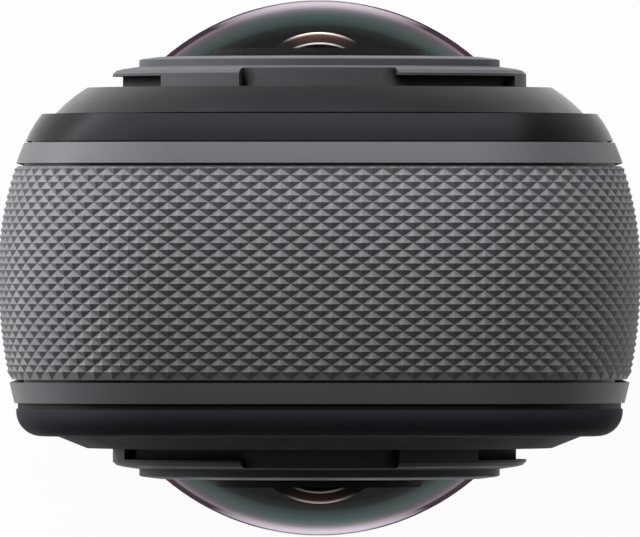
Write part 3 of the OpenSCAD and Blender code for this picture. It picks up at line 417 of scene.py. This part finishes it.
# coated dome glass: the barrel behind it is black, so what is looked through twice goes dark, and towards
# the limb it turns from teal to lilac, a painted reflection of the coating, while light that has met the
# inner lens or the baffle leaves freely;
# near the foot the painted lilac dims and the dark outline widens, and round the tip the glass is glossy
domeGlass = {"Roughness": 0.0, "IOR": 1.0, "Transmission Weight": 1.0, "Coat Roughness": 0.04}
domeLook = dict(radius=0.0172, outerShare=0.965, gloss=0.3, glossStart=0.955, glossEnd=0.985,
                footStart=0.99, footEnd=0.88, bounceLimit=0.5)
tipPaintedReflection = [
    (0.44, (0.0001, 0.0001, 0.0001)), (0.55, (0.0016, 0.0022, 0.0021)), (0.60, (0.0020, 0.0052, 0.0047)),
    (0.65, (0.0046, 0.0120, 0.0111)), (0.70, (0.019, 0.026, 0.026)), (0.74, (0.074, 0.063, 0.077)),
    (0.78, (0.27, 0.20, 0.27)), (0.82, (0.43, 0.32, 0.43)), (0.87, (0.46, 0.35, 0.46)),
    (0.89, (0.30, 0.22, 0.30)), (0.905, (0.006, 0.003, 0.005))]
footPaintedReflection = [
    (0.50, (0.0003, 0.0003, 0.0003)), (0.55, (0.0008, 0.0010, 0.0010)), (0.60, (0.0032, 0.0060, 0.0056)),
    (0.65, (0.0056, 0.0100, 0.0095)), (0.70, (0.0105, 0.0112, 0.0124)), (0.74, (0.021, 0.015, 0.021)),
    (0.78, (0.058, 0.034, 0.049)), (0.81, (0.0034, 0.0014, 0.0026)), (0.90, (0.0034, 0.0014, 0.0026))]


def makeDomeGlass(side):
    look = domeLook
    material, tree, shader = newMaterial(side + "DomeGlass", domeGlass)
    links = tree.links
    outward = 1 if side == "front" else -1
    tip = max(outward * corner.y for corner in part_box(side + "_dome_lens")) * outward
    span = outward * look["radius"]
    # distance from the middle of the sphere tells the outer face from the inner one
    where = addNode(tree, "ShaderNodeTexCoord", (-1100, 200))
    offset = addVectorMath(tree, "SUBTRACT", (-900, 200))
    offset.inputs[1].default_value = (0, tip - span, lensHeight)
    reach = addVectorMath(tree, "LENGTH", (-700, 200))
    outer = addMath(tree, "GREATER_THAN", (-500, 200), look["outerShare"] * look["radius"])
    geometry = addNode(tree, "ShaderNodeNewGeometry", (-700, -50))
    leaving = addMath(tree, "MULTIPLY", (-300, 100))
    entering = addMath(tree, "SUBTRACT", (-300, -150), clamped=True)
    links.new(where.outputs["Object"], offset.inputs[0])
    links.new(offset.outputs["Vector"], reach.inputs[0])
    links.new(reach.outputs["Value"], outer.inputs[0])
    for crossing in (leaving, entering):
        links.new(outer.outputs[0], crossing.inputs[0])
        links.new(geometry.outputs["Backfacing"], crossing.inputs[1])
    # gloss round the tip
    split = addNode(tree, "ShaderNodeSeparateXYZ", (-700, 650))
    cap = addRange(tree, (-350, -450), span * look["glossStart"], span * look["glossEnd"], look["gloss"],
                   interpolation_type="SMOOTHSTEP")
    gloss = addMath(tree, "MULTIPLY", (-150, -200))
    links.new(offset.outputs["Vector"], split.inputs[0])
    links.new(split.outputs["Y"], cap.inputs["Value"])
    links.new(entering.outputs[0], gloss.inputs[0])
    links.new(cap.outputs["Result"], gloss.inputs[1])
    links.new(gloss.outputs[0], shader.inputs["Coat Weight"])
    # only light that has met nothing inside is tinted on its way out
    path = addNode(tree, "ShaderNodeLightPath", (-900, -350))
    bounces = addMath(tree, "ADD", (-700, -350))
    straight = addMath(tree, "LESS_THAN", (-500, -350), look["bounceLimit"])
    mask = addMath(tree, "MULTIPLY", (-150, 0))
    links.new(path.outputs["Diffuse Depth"], bounces.inputs[0])
    links.new(path.outputs["Glossy Depth"], bounces.inputs[1])
    links.new(bounces.outputs[0], straight.inputs[0])
    links.new(leaving.outputs[0], mask.inputs[0])
    links.new(straight.outputs[0], mask.inputs[1])
    # painted reflection by slant, teal to lilac towards the limb, from the steps of the tip to those of the
    # foot
    slant = addNode(tree, "ShaderNodeLayerWeight", (-600, 450))
    foot = addRange(tree, (-500, 650), span * look["footStart"], span * look["footEnd"],
                    interpolation_type="SMOOTHSTEP")
    tipReflectionRamp = addSteps(tree, tipPaintedReflection, (-400, 450))
    footReflectionRamp = addSteps(tree, footPaintedReflection, (-400, 250))
    # the mix of the two step ramps is the painted reflection of the dome
    depth = addColourMix(tree, (-100, 450))
    tone = addColourMix(tree, (50, 200))
    tone.inputs["A"].default_value = (1, 1, 1, 1)
    links.new(split.outputs["Y"], foot.inputs["Value"])
    links.new(slant.outputs["Facing"], tipReflectionRamp.inputs["Fac"])
    links.new(slant.outputs["Facing"], footReflectionRamp.inputs["Fac"])
    links.new(foot.outputs["Result"], depth.inputs["Factor"])
    links.new(tipReflectionRamp.outputs["Color"], depth.inputs["A"])
    links.new(footReflectionRamp.outputs["Color"], depth.inputs["B"])
    links.new(mask.outputs[0], tone.inputs["Factor"])
    links.new(depth.outputs["Result"], tone.inputs["B"])
    links.new(tone.outputs["Result"], shader.inputs["Base Color"])
    return material


for side in ("front", "rear"):
    finishes[side + "DomeGlass"] = makeDomeGlass(side)

# copper-coated inner lens: dark from the front; the copper and then cream where it is seen at a slant, and
# a thin pale ring near the front, are painted reflections and highlights, fading to black outside an
# upright oval
innerGlass = {"Roughness": 0.05, "IOR": 1.0}
innerPaintedHighlights = [
    (0.46, (0.003, 0.003, 0.003)), (0.477, (0.66, 0.63, 0.62)), (0.490, (0.66, 0.63, 0.62)),
    (0.507, (0.030, 0.016, 0.014)), (0.74, (0.070, 0.036, 0.030)), (0.83, (0.55, 0.44, 0.40)),
    (0.88, (0.92, 0.80, 0.76))]
paintedHighlightFade = dict(near=0.0006, far=0.0028, squeeze=0.35, tone=(0.012, 0.012, 0.012, 1))


def makeInnerGlass():
    look = paintedHighlightFade
    material, tree, shader = newMaterial("innerGlass", innerGlass)
    slant = addNode(tree, "ShaderNodeLayerWeight", (-600, 200))
    paintedHighlightRamp = addSteps(tree, innerPaintedHighlights, (-350, 200))
    where = addNode(tree, "ShaderNodeTexCoord", (-1100, -100))
    fromAxis = addVectorMath(tree, "MULTIPLY_ADD", (-900, -100))
    fromAxis.inputs[1].default_value = (1, 0, look["squeeze"])
    fromAxis.inputs[2].default_value = (0, 0, -lensHeight * look["squeeze"])
    radius = addVectorMath(tree, "LENGTH", (-700, -100))
    # the painted highlights fade to the dark tone outside the oval
    fade = addRange(tree, (-500, -100), look["near"], look["far"], interpolation_type="SMOOTHSTEP")
    tone = addColourMix(tree, (-100, 100))
    tone.inputs["B"].default_value = look["tone"]
    tree.links.new(slant.outputs["Facing"], paintedHighlightRamp.inputs["Fac"])
    tree.links.new(where.outputs["Object"], fromAxis.inputs[0])
    tree.links.new(fromAxis.outputs["Vector"], radius.inputs[0])
    tree.links.new(radius.outputs["Value"], fade.inputs["Value"])
    tree.links.new(fade.outputs["Result"], tone.inputs["Factor"])
    tree.links.new(paintedHighlightRamp.outputs["Color"], tone.inputs["A"])
    tree.links.new(tone.outputs["Result"], shader.inputs["Base Color"])
    return material


finishes["innerGlass"] = makeInnerGlass()

# green boards, with a drift of tone fine enough to read as tracks
boardGreen = dict(light=(0.030, 0.150, 0.070), dark=(0.012, 0.080, 0.036), smooth=0.30, rough=0.45,
                  grain=3000, cloud=900, bump=0.2, grainDepth=0.00004)


def makeBoardGreen():
    look = boardGreen
    material, tree, shader = newMaterial("boardGreen", {})
    group = addGrain(tree, look, (*look["light"], 1), (*look["dark"], 1))
    group.inputs["Cloud Scale"].default_value = look["cloud"]
    linkGrain(tree, group, shader)
    bumpFrom(tree, group.outputs["Height"], shader, look["bump"], look["grainDepth"])
    return material


finishes["boardGreen"] = makeBoardGreen()

nodeFinish = {
    "frame": "frameSatin", "grip_band": "gripFacet", "right_side_panel": "panelSatin",
    "left_side_panel": "panelSatin", "front_cover": "frontBlack", "front_grip_pad": "padRubber",
    "rear_cover": "rearBlack", "rear_cover_gasket": "sealRubber", "display_glass": "screenGlass",
    "display_panel": "trayBlack", "mid_plate": "sheetSteel", "lens_chassis": "chassisMetal",
    "lens_seals": "sealRubber", "chassis_screws": "sheetSteel", "main_board": "boardGreen",
    "processor_shield": "sheetSteel", "battery_tray": "trayBlack", "battery_contacts": "contactGold",
    "card_slot": "sheetSteel", "usb_board": "boardGreen", "usb_port": "sheetSteel",
    "speaker": "trayBlack", "mic_meshes": "meshBlack", "status_light": "lightPipe",
    "rear_key_board": "boardGreen", "rear_key_switches": "sheetSteel", "side_key_board": "boardGreen",
    "side_key_switches": "sheetSteel", "base_plate": "baseMetal", "base_screws": "sheetSteel",
    "tripod_insert": "threadSteel", "shutter_key": "keyBlack", "lens_key": "keyBlack",
    "power_key": "keyBlack", "quick_key": "keyBlack", "port_door": "panelSatin",
    "port_door_seal": "sealRubber", "port_door_pin": "sheetSteel", "battery_cell": "cellWrap",
    "battery_lid": "panelSatin", "battery_seal": "sealRubber", "battery_latch": "keyBlack",
}
for side in ("front", "rear"):
    nodeFinish.update({
        side + "_lens_mount": "lensMetal", side + "_lens_ring": "lensMetal",
        side + "_dome_lens": side + "DomeGlass", side + "_lens_baffle": "baffleBlack",
        side + "_inner_lens": "innerGlass", side + "_lens_barrel": "baffleBlack",
        side + "_image_sensor": "boardGreen"})

for name, node in nodes.items():
    node.data.materials.clear()
    node.data.materials.append(finishes[nodeFinish[name]])
print("finishes set on", len(nodes), "nodes")

# small pieces that the solids leave out: each is a grid of points, with copies on the leading axes,
# and its seams and poles are welded
weldDistance = 1e-7
sharpAngle = math.radians(40)


def addPiece(name, points, finish):
    rows, columns = points.shape[-3:-1]
    index = np.arange(points.size // 3).reshape(-1, rows, columns)
    quads = np.stack([index[:, :-1, :-1], index[:, :-1, 1:], index[:, 1:, 1:], index[:, 1:, :-1]], axis=-1)
    mesh = bpy.data.meshes.new(name)
    mesh.from_pydata(points.reshape(-1, 3).tolist(), [], quads.reshape(-1, 4).tolist())
    shell = bmesh.new()
    shell.from_mesh(mesh)
    bmesh.ops.remove_doubles(shell, verts=shell.verts, dist=weldDistance)
    shell.to_mesh(mesh)
    shell.free()
    mesh.polygons.foreach_set("use_smooth", np.ones(len(mesh.polygons), bool))
    mesh.set_sharp_from_angle(angle=sharpAngle)
    mesh.materials.append(finishes[finish])
    piece = bpy.data.objects.new(name, mesh)
    scene.collection.objects.link(piece)
    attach(piece, "camera")
    return piece


# quarter-inch thread in the tripod insert: radius(turn, run) = bore - depth * ridge(run / pitch - turn),
# where the ridge rises with the slope from a flat root to a flat crest
thread = dict(bore=0.00316, depth=0.0006, pitch=0.00127, start=0.0003, length=0.0074,
              slope=1.3, root=0.15, turnSteps=73, runSteps=90)


def makeThread():
    size = thread
    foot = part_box("tripod_insert")[0].z + size["start"]
    turns = np.linspace(1, 0, size["turnSteps"])
    runs = np.linspace(0, size["length"], size["runSteps"])
    turn, run = np.meshgrid(turns, runs)
    wave = (run / size["pitch"] - turn) % 1
    ridge = np.clip(size["slope"] * (1 - np.abs(2 * wave - 1)) - size["root"], 0, 1)
    fade = np.clip(np.minimum(run, size["length"] - run) / size["pitch"], 0, 1)
    radius = size["bore"] - size["depth"] * ridge * fade
    angle = 2 * np.pi * turn
    points = np.stack([radius * np.cos(angle), radius * np.sin(angle), foot + run], axis=-1)
    addPiece("tripodThread", points, "threadSteel")


makeThread()

# base screws with a cross recess: the profile goes from the middle of the face over the head
# and up the shank, and the face is pushed in where min(|x|, |y|) is under half a slot
# and max(|x|, |y|) is under its length
screws = dict(headRadius=0.0015, headHeight=0.0009, shankRadius=0.0008, edge=0.0001, edgeRound=0.00003,
              slotHalf=0.00017, slotLength=0.00088, slotDepth=0.00045, sideSlope=4, endSlope=3,
              angleSteps=145, faceSteps=26)


def makeScrews():
    size = screws
    low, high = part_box("base_screws")
    length = high.z - low.z
    head = size["headRadius"]
    shank = size["shankRadius"]
    shoulder = size["headHeight"]
    faceRadius = np.linspace(0, head - size["edge"], size["faceSteps"])
    sideRadius = [head - size["edgeRound"], head, head, shank, shank, 0]
    sideHeight = [size["edgeRound"], size["edge"], shoulder, shoulder, length, length]
    profileRadius = np.concatenate([faceRadius, sideRadius])
    profileHeight = np.concatenate([np.zeros(size["faceSteps"]), sideHeight])
    angle = np.linspace(0, 2 * np.pi, size["angleSteps"])
    x = profileRadius[:, None] * np.cos(angle)
    y = profileRadius[:, None] * np.sin(angle)
    narrow = np.minimum(np.abs(x), np.abs(y))
    wide = np.maximum(np.abs(x), np.abs(y))
    withinSides = np.clip(size["sideSlope"] * (1 - narrow / size["slotHalf"]), 0, 1)
    withinEnds = np.clip(size["endSlope"] * (1 - wide / size["slotLength"]), 0, 1)
    slot = withinSides * withinEnds
    slot[size["faceSteps"]:] = 0
    z = low.z + profileHeight[:, None] + size["slotDepth"] * slot
    places = np.array([low.x + head, high.x - head])[:, None, None]
    points = np.stack(np.broadcast_arrays(x + places, y, z), axis=-1)
    piece = addPiece("baseScrews", points, "sheetSteel")
    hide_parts("base_screws")


makeScrews()

# woven mesh over the microphones: lift(x, y) = weave * (1 + sin(x) * sin(y)) / 2 over a disc
micWeave = dict(radius=0.00148, thread=0.00028, weave=0.00006, rise=0.00002, ringSteps=42, angleSteps=161)


def makeMicWeave():
    size = micWeave
    low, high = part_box("mic_meshes")
    ring = np.linspace(0, size["radius"], size["ringSteps"])[:, None]
    angle = np.linspace(0, 2 * np.pi, size["angleSteps"])
    up = ring * np.cos(angle)
    across = ring * np.sin(angle)
    waves = np.sin(2 * np.pi * up / size["thread"]) * np.sin(2 * np.pi * across / size["thread"])
    lift = size["rise"] + size["weave"] * (1 + waves) / 2
    height = (low.z + high.z) / 2
    discs = [np.stack([high.x + lift, across, height + up], axis=-1),
             np.stack([low.x - lift, -across, height + up], axis=-1)]
    addPiece("micWeave", np.array(discs), "meshBlack")


makeMicWeave()

# gold contacts on both faces of the socket's tongue: half-round strips,
# lift(along, arc) = height * sin(arc), tapered at the ends
contacts = dict(count=12, pitch=0.0005, width=0.00026, height=0.00003, face=0.00035, inner=0.0054,
                outer=0.0016, taper=5, alongSteps=20, arcSteps=9)


def makeContacts():
    size = contacts
    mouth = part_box("usb_port")[1].x
    middle = middleOf("usb_port").z
    side = np.array([-1, 1])[:, None, None, None]
    place = ((np.arange(size["count"]) - (size["count"] - 1) / 2) * size["pitch"])[None, :, None, None]
    along = np.linspace(0, 1, size["alongSteps"])[None, None, :, None]
    arc = np.linspace(0, np.pi, size["arcSteps"])[None, None, None, :]
    ends = np.clip(size["taper"] * np.sin(np.pi * along), 0, 1)
    x = mouth - size["inner"] + (size["inner"] - size["outer"]) * along
    y = side * (size["face"] + size["height"] * np.sin(arc) * ends)
    z = middle + place - side * size["width"] / 2 * np.cos(arc)
    points = np.stack(np.broadcast_arrays(x, y, z), axis=-1)
    addPiece("socketContacts", points, "contactGold")


makeContacts()
print("small pieces made")

# stage: a pale floor that keeps the shadow and shows white behind the object
stage = dict(floorSize=3.0, floorTone=0.8, floorRoughness=0.7, whiteShare=0.97)


def makeFloor():
    half = stage["floorSize"] / 2
    corners = [(-half, -half, 0), (half, -half, 0), (half, half, 0), (-half, half, 0)]
    mesh = bpy.data.meshes.new("floor")
    mesh.from_pydata(corners, [], [(0, 1, 2, 3)])
    floor = bpy.data.objects.new("floor", mesh)
    scene.collection.objects.link(floor)
    tone = (stage["floorTone"],) * 3 + (1,)
    material, tree, shader = newMaterial("floorWhite", {
        "Base Color": tone, "Roughness": stage["floorRoughness"]})
    white = addNode(tree, "ShaderNodeEmission", (0, -300))
    ray = addNode(tree, "ShaderNodeLightPath", (-400, 300))
    seen = addMath(tree, "MAXIMUM", (-200, 300))
    seenThrough = addMath(tree, "MAXIMUM", (-50, 300))
    share = addMath(tree, "MULTIPLY", (100, 300), stage["whiteShare"])
    mix = addNode(tree, "ShaderNodeMixShader", (300, 0))
    tree.links.new(ray.outputs["Is Camera Ray"], seen.inputs[0])
    tree.links.new(ray.outputs["Is Glossy Ray"], seen.inputs[1])
    tree.links.new(seen.outputs[0], seenThrough.inputs[0])
    tree.links.new(ray.outputs["Is Transmission Ray"], seenThrough.inputs[1])
    tree.links.new(seenThrough.outputs[0], share.inputs[0])
    tree.links.new(share.outputs[0], mix.inputs[0])
    tree.links.new(shader.outputs[0], mix.inputs[1])
    tree.links.new(white.outputs[0], mix.inputs[2])
    tree.links.new(mix.outputs[0], tree.nodes["Material Output"].inputs["Surface"])
    mesh.materials.append(material)


makeFloor()

# soft studio light: two wide softboxes in front, low strips at the corner and at both ends
# that stay below the top of the body, and weak fills above and behind,
# each placed by direction round a point a little below the top
lamps = {
    "frontBox": dict(azimuth=102, elevation=14, wide=1.4, tall=0.45, power=7.0),
    "frontHigh": dict(azimuth=102, elevation=40, wide=1.4, tall=0.45, power=3.7),
    "cornerBox": dict(azimuth=142, elevation=-4, wide=0.9, tall=0.1, power=3.2),
    "leftBox": dict(azimuth=170, elevation=-4, wide=0.45, tall=0.1, power=1.3),
    "rightBox": dict(azimuth=6, elevation=-4, wide=0.45, tall=0.1, power=0.36),
    "topBox": dict(azimuth=90, elevation=88, wide=0.9, tall=0.9, power=0.45),
    "rearFill": dict(azimuth=270, elevation=1, wide=1.0, tall=0.2, power=0.22),
}
lampReach = 0.8
lampAimShare = 0.88
lampAim = Vector((0, 0, topHeight * lampAimShare))


def addLamp(name):
    look = lamps[name]
    light = bpy.data.lights.new(name, "AREA")
    light.shape = "RECTANGLE"
    light.size = look["wide"]
    light.size_y = look["tall"]
    light.energy = look["power"]
    lamp = bpy.data.objects.new(name, light)
    turn = math.radians(look["azimuth"])
    rise = math.radians(look["elevation"])
    away = Vector((math.cos(turn) * math.cos(rise), math.sin(turn) * math.cos(rise), math.sin(rise)))
    lamp.location = lampAim + away * lampReach
    lamp.rotation_euler = away.to_track_quat("Z", "Y").to_euler()
    scene.collection.objects.link(lamp)


for name in lamps:
    addLamp(name)

# faint bluish light from all round
sky = {"Color": (0.9, 0.95, 1.0, 1), "Strength": 0.02}
world = bpy.data.worlds.new("studio")
scene.world = world
world.use_nodes = True
for label, value in sky.items():
    world.node_tree.nodes["Background"].inputs[label].default_value = value

# camera straight above, far away, so that the view is almost without perspective
view = dict(distance=1.5, imageWidth=640, imageHeight=537, pixelsPerMm=13.896, centreX=319.5,
            centreY=267.9, sensor=36.0, farthest=20.0)


def addCamera():
    pixel = millimetre / view["pixelsPerMm"]
    camera = bpy.data.cameras.new("camera")
    camera.sensor_width = view["sensor"]
    camera.lens = view["sensor"] * view["distance"] / (view["imageWidth"] * pixel)
    camera.clip_end = view["farthest"]
    rig = bpy.data.objects.new("camera", camera)
    offX = (view["imageWidth"] / 2 - view["centreX"]) * pixel
    offY = (view["centreY"] - view["imageHeight"] / 2) * pixel
    rig.location = (offX, offY, lensHeight + view["distance"])
    scene.collection.objects.link(rig)
    scene.camera = rig


addCamera()
scene.view_settings.view_transform = "Standard"
print("stage, lamps and camera set")
